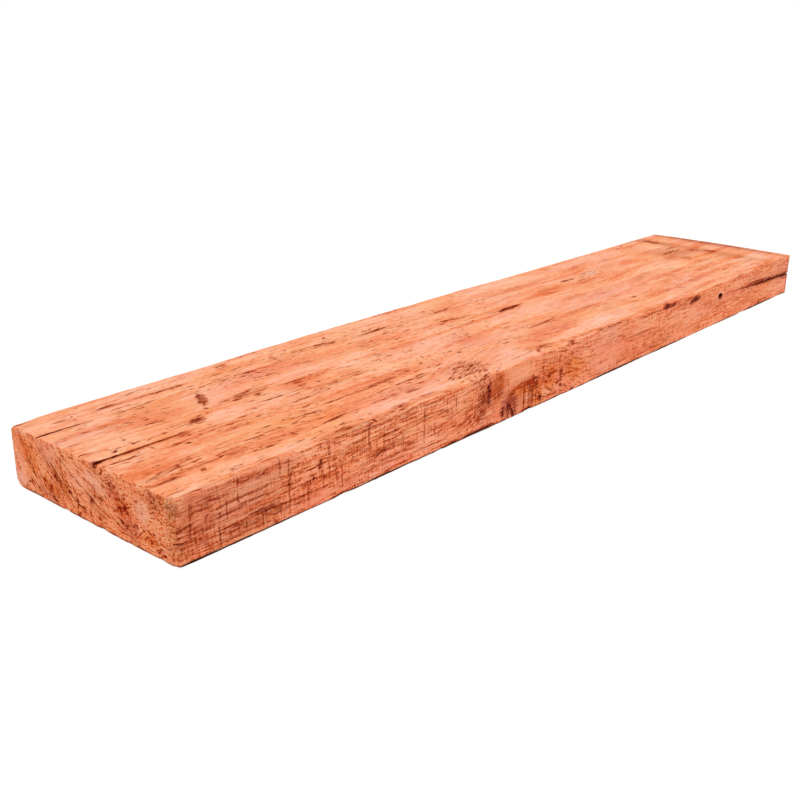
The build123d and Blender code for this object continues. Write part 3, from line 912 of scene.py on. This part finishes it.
class SawnWood(Finish):
    """The sawn wood. Its places are in millimetres from the near end, the front edge and the underside.

    The sizes of its patterns are in millimetres too, along, across and up. A number that a pattern is
    multiplied by is its weight among the others.
    """

    def __init__(self, look, shape):
        super().__init__("sawn_wood")
        self.look = look
        position = self.add("ShaderNodeTexCoord", output="Object")
        corner = (shape.length / MM / 2, shape.width / MM / 2, 0)
        self.place = self.vector("MULTIPLY_ADD", position, (1 / MM,) * 3, corner)
        self.along, self.across, self.height = self.split(self.place)
        self.face_masks()
        self.grain_lines()
        self.grain_patterns()

    def face_masks(self):
        """Which way the surface faces."""
        facing_x, facing_y, facing_z = self.split(self.add("ShaderNodeNewGeometry", output="Normal"))
        some, full = 0.5, 0.8  # how much of the normal points a way before it counts, and counts fully
        self.on_face = self.rise(abs(facing_z), some, full)
        self.on_end = self.rise(abs(facing_x), some, full)
        self.on_front = self.rise(facing_y, -some, -full)

    def grain_lines(self):
        """Places that run straight along the grain, which sways along the plank and arches over the knot."""
        sway = (self.pattern(self.place, (240, 80, 80), detail=1) - 0.5) * 34
        self.from_knot = self.length(self.add("ShaderNodeMapping", {"vector_type": "TEXTURE"}, {
            "Vector": self.place, "Location": KNOT_MIDDLE, "Scale": KNOT_REACH}))
        arch = self.rise(self.from_knot, 4.2, 0.5) * 15
        self.grain = self.join(self.along, self.across - sway - arch, self.height - sway * 0.25 - arch)
        up_from_pith = self.height - arch * 0.6 - PITH[1] / MM
        across_from_pith = self.across - sway * 0.5 - arch * 0.6 - PITH[0] / MM
        wobble = (self.pattern(self.place, (400, 22, 22), detail=1) - 0.5) * 16
        self.ring = self.length(self.join(0.0, across_from_pith, up_from_pith)) + wobble
        self.ring_turn = across_from_pith.turn_from(up_from_pith * -1.0) * 100

    def grain_patterns(self):
        """The patterns that more than one thing is made of."""
        self.patches = self.pattern(self.grain, (85, 20, 17), detail=3, roughness=0.6)
        self.streaks = self.pattern(self.grain, (55, 4.2, 2.4), detail=3, roughness=0.6)
        self.fibres = self.pattern(self.grain, (9, 2.2, 1.3), detail=2, roughness=0.6)
        self.speckle = self.pattern(self.place, (2.0, 2.0, 1.3), detail=1)
        brown = self.attribute("brown") * (0.22 - self.on_front * 0.10 - self.on_end * 0.10)
        pitted = self.attribute("rust") * self.on_end * 0.24
        smooth_wood = self.attribute("pale") * 0.16
        self.torn = self.pattern(self.place, (50, 18, 18), detail=2) + brown + pitted - smooth_wood
        self.ragged = (self.streaks - 0.5) * 1.4 + (self.fibres - 0.5) * 1.6
        self.lines = self.pattern(self.grain, (45, 2.6, 1.8), detail=2)
        self.leaning = self.join(self.along + self.height * 0.08, self.across, self.height)
        self.grit = self.pattern(self.place, (1.7, 1.7, 1.5), detail=2, roughness=0.6)
        self.calm = self.rise(self.along, *CALMER)
        self.in_knot = self.attribute("knot") * self.on_front
        # Painted light and shade: the ridge height just below each place less that just above, so up-facing
        # slopes of the torn ridge pattern are lighter, as if lit from above.
        self.ridge_light_and_shade = self.ridge_height(-0.7) - self.ridge_height(0.7)

    def ridge_height(self, up):
        """How far the torn ridge pattern of the front edge stands out, a little above or below each place."""
        raised = self.vector("ADD", self.grain, (0, 0, up))
        return self.pattern(raised, (24, 4, 3.4), detail=3, roughness=0.6)

    def top_tone(self):
        """How light the wood of the top and the underside is, from 0 to 1."""
        bands = self.noise(self.ring, scale=0.17, detail=3, roughness=0.6, dimensions="1D")
        dark_bands = self.rise(bands + (self.patches - 0.5) * 0.5, 0.46, 0.34)
        dark_streaks = self.rise(self.streaks + (self.torn - 0.5) * 0.3, 0.44, 0.32)
        tone = 0.66 + (self.patches - 0.5) * (0.7 + self.calm * 0.4) - dark_bands * 0.20 - dark_streaks * 0.16
        return tone + (self.fibres - 0.5) * 1.0 + (self.speckle - 0.5) * 0.4

    def side_tone(self):
        """How light the wood of the long edges is, from 0 to 1, with painted light and shade on its torn
        ridge pattern.
        """
        slabs = self.pattern(self.grain, (30, 5, 3.6), detail=4, roughness=0.65)
        hatch = self.pattern(self.leaning, (1.7, 12, 12), detail=1)
        dark_streaks = self.rise(self.streaks + (self.torn - 0.5) * 0.3, 0.46, 0.34)
        tone = 0.60 + (self.patches - 0.5) * 0.6 + (slabs - 0.5) * (1.0 - self.calm * 0.3)
        tone = tone - (slabs - 0.5) * self.in_knot * 0.6 - dark_streaks * (1 - self.in_knot) * 0.18
        # Painted light and shade on the torn ridge pattern, lit from above.
        tone = tone + self.ridge_light_and_shade * (2.1 - self.calm * 1.2) * (1 - self.in_knot * 0.8)
        tone = tone + (self.fibres - 0.5) * (1.0 - self.in_knot * 0.5) + (self.speckle - 0.5)
        return tone + (hatch - 0.5) * (1 - self.in_knot * 0.8)

    def end_tone(self):
        """How light the wood of the ends is, from 0 to 1."""
        bands = self.noise(self.ring, scale=0.09, detail=4, roughness=0.7, dimensions="1D")
        ring_place = self.join(self.ring / 2.0, self.ring_turn / 9.0, self.along / 9.0)
        lines = self.noise(ring_place, detail=3, roughness=0.6)
        rings = self.noise(self.join(self.ring / 2.4, self.ring_turn / 45, 0.0), detail=2)
        tone = 0.66 + (bands - 0.5) * 0.5 + (rings - 0.5) * 1.3 + (lines - 0.5) * 2.6
        return tone + (self.grit - 0.5) * 2.5

    def pits(self):
        """The torn pores of the ends, which lie along the rings."""
        ring_place = self.join(self.ring / 2.0, self.ring_turn / 4.6, self.along / 4.6)
        pores = self.noise(ring_place, detail=2)
        return self.rise(pores + (self.torn - 0.5) * 0.3, 0.60, 0.68)

    def flecks(self):
        """The short dark lines of open pores in rows along the grain, closer together where it is torn."""
        pores = self.pattern(self.grain, (8, 2.1, 1.5), detail=1)
        open_pores = pores + (self.lines - 0.5) * 0.7 + (self.torn - 0.5) * 0.5 - self.calm * 0.06
        return self.rise(open_pores, 0.64, 0.78)

    def grooves(self):
        """The thin lines that the torn grain left."""
        return self.rise(self.lines + (self.torn - 0.5) * 0.35 - self.calm * 0.07, 0.57, 0.70)

    def pale_flakes_and_highlights(self):
        """The pale slivers that stand up beside the torn grain, partly a painted highlight where it catches
        the light.
        """
        return self.rise(self.pattern(self.grain, (11, 3, 2.2), detail=2), 0.58, 0.68)

    def saw_scratches(self):
        """The lines that the saw's teeth left across the grain, where it tore."""
        lines = self.pattern(self.leaning, (2.0, 22, 22), detail=2, roughness=0.7)
        return self.rise(lines + (self.torn - 0.5) * 0.4 - self.calm * 0.06, 0.60, 0.70)

    def wood_colour(self):
        """The colour of the wood by its tone, for each way that it was cut."""
        look = self.look
        colours = []
        for tone, pale, wood, brown, dark in (
            (self.side_tone(), look.side_pale, look.side_wood, look.side_brown, look.side_dark),
            (self.top_tone(), look.top_pale, look.top_wood, look.top_brown, look.top_dark),
            (self.end_tone(), look.end_pale, look.end_wood, look.end_brown, look.end_dark),
        ):
            colours.append(self.ramp(tone, *zip(TONES, (dark, brown, wood, pale))))
        side, top, end = colours
        return self.blend(self.on_end, self.blend(self.on_face, side, top), end)

    def tint(self, cover, colour, tint):
        """Lets only the tint's share of the colour through where the cover is 1."""
        return self.blend(cover, colour, opaque(tint), mode="MULTIPLY")

    def stain(self, kind, broken=1.6):
        """How strongly one kind of stain shows, broken up by the grain."""
        return self.rise(self.attribute(kind) * (1 + self.ragged * broken), 0.15, 0.95)

    def stain_over(self, colour):
        """Lays the stains that the mesh carries over the wood."""
        look = self.look
        pale = self.stain("pale") * (0.35 + self.on_face * 0.1 + self.on_front * 0.12 + self.on_end * 0.1)
        palest = self.blend(self.on_front, opaque(look.pale), opaque(look.side_pale))
        colour = self.blend(pale, colour, palest)
        colour = self.blend(self.stain("rosy") * (0.2 + self.on_face * 0.1), colour, opaque(look.rosy))
        colour = self.tint(self.stain("dusk") * 0.7, colour, look.dusk)
        colour = self.tint(self.stain("weathered") * 0.75, colour, look.weathered)
        colour = self.tint(self.stain("tan") * (1 - self.on_face * 0.6), colour, look.tan)
        reddish = self.rise(self.pattern(self.grain, (70, 9, 9), detail=2), 0.50, 0.68)
        colour = self.tint(self.stain("red").most(reddish * 0.8) * 0.7, colour, look.heart)
        colour = self.tint(self.stain("mauve") * (0.8 - self.on_end * 0.55), colour, look.bruise)
        colour = self.tint(self.stain("brown") * 0.22, colour, look.rust)
        return self.tint(self.stain("rust", broken=3.2) * (0.8 - self.on_end * 0.5), colour, look.rust)

    def drift_over(self, colour):
        """Lets the wood drift between a tan and a rosy hue."""
        drift = self.pattern(self.grain, (120, 30, 22), detail=5, roughness=0.6) - 0.5
        return self.vector("MULTIPLY", colour, self.join(1.0, 1 + drift * 0.15, 1 + drift * 0.8))

    def knot_over(self, colour):
        """The upright dark streaks of the knot in the front edge."""
        inside = self.rise(self.from_knot + self.ragged * 0.15, 1.25, 0.8)
        columns = self.pattern(self.place, (4, 30, 40), detail=2)
        cover = inside * self.rise(columns, 0.48, 0.64) * self.on_front * 0.5
        return self.tint(cover, colour, self.look.rust)


def finish_wood(look, shape):
    """The sawn wood: its grain, its saw scratches, its stains, its hollows and what the saw tore."""
    wood = SawnWood(look, shape)
    not_end = 1 - wood.on_end
    on_side = not_end * (1 - wood.on_face)
    flecks, grooves, scratches, pits = wood.flecks(), wood.grooves(), wood.saw_scratches(), wood.pits()

    colour = wood.drift_over(wood.stain_over(wood.wood_colour()))
    colour = wood.knot_over(colour)
    # Pale slivers, partly a painted highlight on the torn grain.
    colour = wood.blend(wood.pale_flakes_and_highlights() * (0.4 - wood.on_face * 0.2), colour, opaque(look.side_pale))
    plain = not_end * (1 - wood.in_knot * 0.9)
    colour = wood.tint(flecks * plain * (0.75 + wood.on_face * 0.2 - wood.calm * 0.4), colour, look.rust)
    colour = wood.tint(grooves * plain * (0.32 + wood.on_face * 0.1), colour, look.rust)
    colour = wood.tint(scratches * not_end * (0.42 - wood.on_face * 0.3), colour, look.rust)
    colour = wood.tint(pits * wood.on_end, colour, look.rust)

    uneven = (wood.speckle - 0.5) * 1.6 + (wood.fibres - 0.5) * 1.2
    beads = wood.pattern(wood.place, (3.0, 3.0, 2.6), detail=1)
    strokes = wood.rise(wood.attribute("scratch") * (0.92 + uneven * 1.1 + (beads - 0.5) * 3.2), 0.2, 0.8)
    light = wood.rise(wood.attribute("light") * (1 + uneven), 0.25, 0.9)
    colour = wood.blend(light * 0.7, colour, opaque(look.end_pale))
    gum_and_shade_spot = wood.attribute("gum") * (1 + uneven * 0.5)
    gum = wood.rise(gum_and_shade_spot, 0.5, 1.0)
    depth = wood.attribute("depth")
    hollow = wood.rise(depth, 3.0, 7.0)
    # Painted shadow: darker towards the bottom of the edges and ends, where the plank meets the floor.
    painted_contact_shadow = wood.rise(wood.height + (wood.patches - 0.5) * 6, 2.6, 1.0)
    colour = wood.tint(wood.rise(gum_and_shade_spot, 0.1, 0.6) * 0.8, colour, look.rust)
    # The strokes in the shadow colour: scratches and splits with painted shade in them, and painted shadow
    # under the lower front edge.
    colour = wood.tint(strokes * (0.9 - on_side * 0.12), colour, look.shadow)
    # Painted shade in the hollows: the deeper below the faces, the darker.
    colour = wood.tint(wood.rise(depth, 0.2, 1.4) * 0.8, colour, look.shadow)
    colour = wood.tint(painted_contact_shadow * (1 - wood.on_face) * (1 - wood.on_end * 0.4), colour, look.painted_contact_shadow)
    # Painted shade deep in every hollow, from 3 mm below the faces, in the gum colour, over the gum spots.
    colour = wood.blend(hollow.most(gum) * 0.95, colour, opaque(look.gum))

    relief = wood.streaks * (0.6 + on_side * 0.9) + wood.fibres * 0.8 - flecks * 0.4
    relief = (relief - (grooves + scratches) * on_side * 0.4 - strokes * 0.25) * not_end
    relief = relief + (wood.grit * 1.8 - pits * 0.8) * wood.on_end + wood.speckle * 0.4
    bumped = wood.add("ShaderNodeBump", None, {"Strength": 0.7, "Distance": MM, "Height": relief})
    dull = look.roughness - gum * 0.3 - hollow * 0.2
    shader = wood.add("ShaderNodeBsdfPrincipled", None, {
        "Base Color": colour, "Roughness": dull, "Normal": bumped, "Specular IOR Level": 0.03})
    return wood.show(shader)


SMOOTH_UP_TO = 40  # how steep an edge between two faces may be and still look smooth, in degrees


class PLANK_OT_saw(bpy.types.Operator):
    """Saw the plank, cut its hollows and finish its wood"""

    bl_idname = "plank.saw"
    bl_label = "Saw the Plank"

    def execute(self, context):
        shape, look = context.scene.plank_shape, context.scene.plank_wood
        plank = add_blank(shape)
        shape_outline(plank, shape)
        cut_hollows(plank, shape)
        cut_finer(plank, shape, ("top", "front", "near_end"), reach=FINER_REACH)
        cut_finer(plank, shape, ("front", "near_end"), reach=FINEST_REACH)
        note_wood(plank, shape)
        add_relief(plank, shape)
        deselect_all()
        plank.select_set(True)
        context.view_layer.objects.active = plank
        bpy.ops.object.shade_smooth_by_angle(angle=math.radians(SMOOTH_UP_TO))
        plank.data.materials.clear()
        plank.data.materials.append(finish_wood(look, shape))
        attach(plank, "root")
        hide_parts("plank")
        return {"FINISHED"}


WHITE = (1, 1, 1)
LAMP_SIDE = (-0.45, -0.55, 1)  # where the broad lamp stands, seen from the plank
LAMP_SPREAD = 35  # how wide it looks from there, in degrees
CAMERA_PLACE = (-0.8760, -0.6161, 0.3491)
CAMERA_AIM = (40.826, 20.213, 0.584)  # heading, how far it looks down and how far it tilts, in degrees


class PLANK_OT_stage(bpy.types.Operator):
    """Lay the pale floor, hang the lights and place the camera"""

    bl_idname = "plank.stage"
    bl_label = "Set the Stage"

    def execute(self, context):
        stage = context.scene.plank_stage
        self.lay_floor(stage)
        self.hang_lights(context, stage)
        self.place_camera(context, stage)
        context.scene.view_settings.view_transform = "Standard"
        return {"FINISHED"}

    def lay_floor(self, stage):
        deselect_all()
        bpy.ops.mesh.primitive_plane_add(size=stage.floor_size)
        floor = bpy.context.object
        floor.name = "floor"
        paper = Finish("white_floor")
        seen = paper.add("ShaderNodeLightPath", output="Is Camera Ray")
        matte = paper.add("ShaderNodeBsdfDiffuse", None, {"Color": opaque((stage.floor_grey,) * 3)})
        glow = paper.add("ShaderNodeEmission", None, {"Color": opaque(WHITE), "Strength": stage.floor_glow})
        shade = paper.add("ShaderNodeBsdfDiffuse", None, {"Color": opaque((stage.floor_shade,) * 3)})
        both = paper.add("ShaderNodeAddShader", None, {0: shade, 1: glow})
        shown = paper.add("ShaderNodeMixShader", None, {0: seen, 1: matte, 2: both})
        floor.data.materials.append(paper.show(shown))

    def hang_lights(self, context, stage):
        studio = Finish("studio", home="worlds")
        seen = studio.add("ShaderNodeLightPath", output="Is Camera Ray")
        even = studio.add("ShaderNodeBackground", None, {"Color": opaque(WHITE), "Strength": stage.sky})
        white = studio.add("ShaderNodeBackground", None, {"Color": opaque(WHITE)})
        shown = studio.add("ShaderNodeMixShader", None, {0: seen, 1: even, 2: white})
        context.scene.world = studio.show(shown, output="ShaderNodeOutputWorld")
        deselect_all()
        bpy.ops.object.light_add(type="SUN", location=(-1, -1, 2))
        lamp = context.object
        lamp.name = "broad_lamp"
        lamp.data.energy = stage.sun
        lamp.data.angle = math.radians(LAMP_SPREAD)
        lamp.rotation_euler = Vector(LAMP_SIDE).to_track_quat("Z", "Y").to_euler()

    def place_camera(self, context, stage):
        deselect_all()
        bpy.ops.object.camera_add(location=CAMERA_PLACE)
        camera = context.object
        camera.name = "camera"
        heading, down, tilt = [math.radians(angle) for angle in CAMERA_AIM]
        turn = (Matrix.Rotation(heading - math.pi / 2, 3, "Z") @ Matrix.Rotation(math.pi / 2 - down, 3, "X")
                @ Matrix.Rotation(tilt, 3, "Z"))
        camera.rotation_euler = turn.to_euler()
        camera.data.lens = stage.lens
        camera.data.sensor_width = 36
        camera.data.clip_end = 200
        context.scene.camera = camera


class PLANK_PT_panel(bpy.types.Panel):
    """The plank's sizes, its finish and its stage"""

    bl_label = "Rough Sawn Plank"
    bl_space_type = "VIEW_3D"
    bl_region_type = "UI"
    bl_category = "Plank"

    def draw(self, context):
        scene = context.scene
        for group, operator in ((scene.plank_shape, None), (scene.plank_wood, "plank.saw"),
                                (scene.plank_stage, "plank.stage")):
            for name in group.__annotations__:
                self.layout.prop(group, name)
            if operator:
                self.layout.operator(operator)


CLASSES = (PlankShape, WoodLook, StageLook, PLANK_OT_saw, PLANK_OT_stage, PLANK_PT_panel)
GROUPS = {"plank_shape": PlankShape, "plank_wood": WoodLook, "plank_stage": StageLook}


def register():
    for kind in CLASSES:
        bpy.utils.register_class(kind)
    for name, group in GROUPS.items():
        setattr(bpy.types.Scene, name, bpy.props.PointerProperty(type=group))


def unregister():
    for name in GROUPS:
        delattr(bpy.types.Scene, name)
    for kind in reversed(CLASSES):
        bpy.utils.unregister_class(kind)


def main():
    """Builds the plank and its stage."""
    register()
    bpy.ops.plank.saw()
    bpy.ops.plank.stage()


if __name__ == "__main__":
    main()
